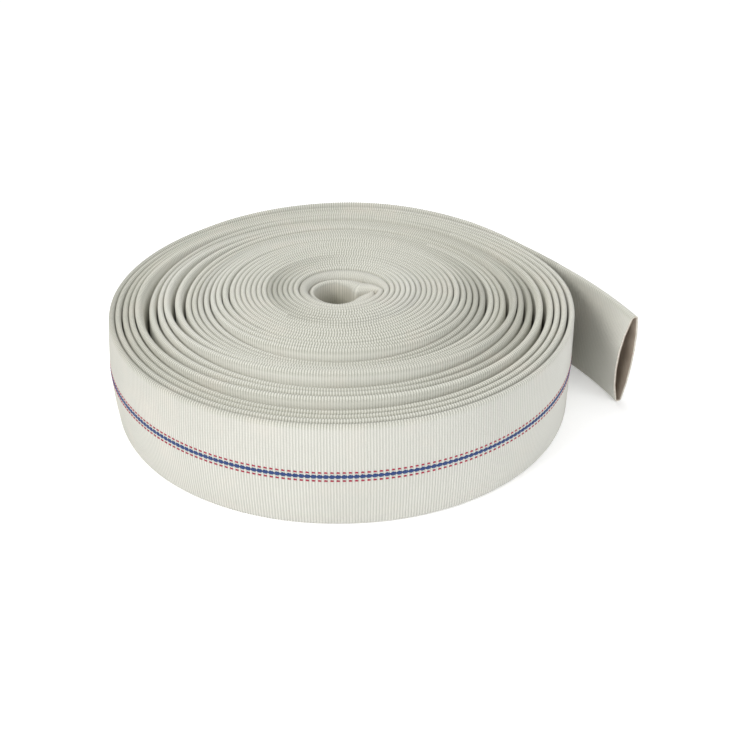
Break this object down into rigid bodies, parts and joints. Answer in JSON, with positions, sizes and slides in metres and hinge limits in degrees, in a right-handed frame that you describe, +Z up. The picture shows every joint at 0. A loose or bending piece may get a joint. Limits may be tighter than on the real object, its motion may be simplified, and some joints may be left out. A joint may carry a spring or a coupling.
{
  "type": "fire hose roll",
  "caption": "Lined layflat fire hose wound into a flat roll, its last length bent away with the cut end standing open.",
  "frame": {"origin": "on the roll's axis, inside the eye, at the height of the surface that the roll lies on", "axes": "+Z up along the roll's axis; +X towards the side where the loose tail stands; the winding runs clockwise outwards seen from +Z"},
  "size_m": [0.4169, 0.363, 0.092],
  "materials": {
    "woven_jacket": "ribbed off-white woven polyester",
    "rubber_lining": "matt taupe-brown rubber",
    "blue_marker_yarn": "blue woven marker yarn",
    "red_marker_yarn": "red woven marker yarn in dashes"
  },
  "bodies": {
    "roll": {"eye_jacket": "woven_jacket", "eye_lining": "rubber_lining", "eye_blue_yarn": "blue_marker_yarn", "eye_upper_red_yarn": "red_marker_yarn", "eye_lower_red_yarn": "red_marker_yarn", "core_inner_jacket": "woven_jacket", "core_inner_lining": "rubber_lining", "core_inner_blue_yarn": "blue_marker_yarn", "core_inner_upper_red_yarn": "red_marker_yarn", "core_inner_lower_red_yarn": "red_marker_yarn", "core_outer_jacket": "woven_jacket", "core_outer_lining": "rubber_lining", "core_outer_blue_yarn": "blue_marker_yarn", "core_outer_upper_red_yarn": "red_marker_yarn", "core_outer_lower_red_yarn": "red_marker_yarn", "middle_jacket": "woven_jacket", "middle_lining": "rubber_lining", "middle_blue_yarn": "blue_marker_yarn", "middle_upper_red_yarn": "red_marker_yarn", "middle_lower_red_yarn": "red_marker_yarn", "outer_jacket": "woven_jacket", "outer_lining": "rubber_lining", "outer_blue_yarn": "blue_marker_yarn", "outer_upper_red_yarn": "red_marker_yarn", "outer_lower_red_yarn": "red_marker_yarn"},
    "tail_root": {"tail_root_jacket": "woven_jacket", "tail_root_lining": "rubber_lining", "tail_root_blue_yarn": "blue_marker_yarn", "tail_root_upper_red_yarn": "red_marker_yarn", "tail_root_lower_red_yarn": "red_marker_yarn"},
    "tail_middle": {"tail_middle_jacket": "woven_jacket", "tail_middle_lining": "rubber_lining", "tail_middle_blue_yarn": "blue_marker_yarn", "tail_middle_upper_red_yarn": "red_marker_yarn", "tail_middle_lower_red_yarn": "red_marker_yarn"},
    "mouth": {"mouth_jacket": "woven_jacket", "mouth_lining": "rubber_lining", "mouth_blue_yarn": "blue_marker_yarn", "mouth_upper_red_yarn": "red_marker_yarn", "mouth_lower_red_yarn": "red_marker_yarn"}
  },
  "joints": [
    {"name": "tail_peel", "type": "hinge", "parent": "roll", "child": "tail_root", "pos_m": [0.1099, 0.1368, 0.042], "axis": [0, 0, 1], "range_deg": [0, 60]},
    {"name": "tail_bend", "type": "hinge", "parent": "tail_root", "child": "tail_middle", "pos_m": [0.1599, 0.088, 0.042], "axis": [0, 0, 1], "range_deg": [-6, 40]},
    {"name": "mouth_bend", "type": "hinge", "parent": "tail_middle", "child": "mouth", "pos_m": [0.1992, 0.0326, 0.042], "axis": [0, 0, 1], "range_deg": [-12, 30]}
  ]
}
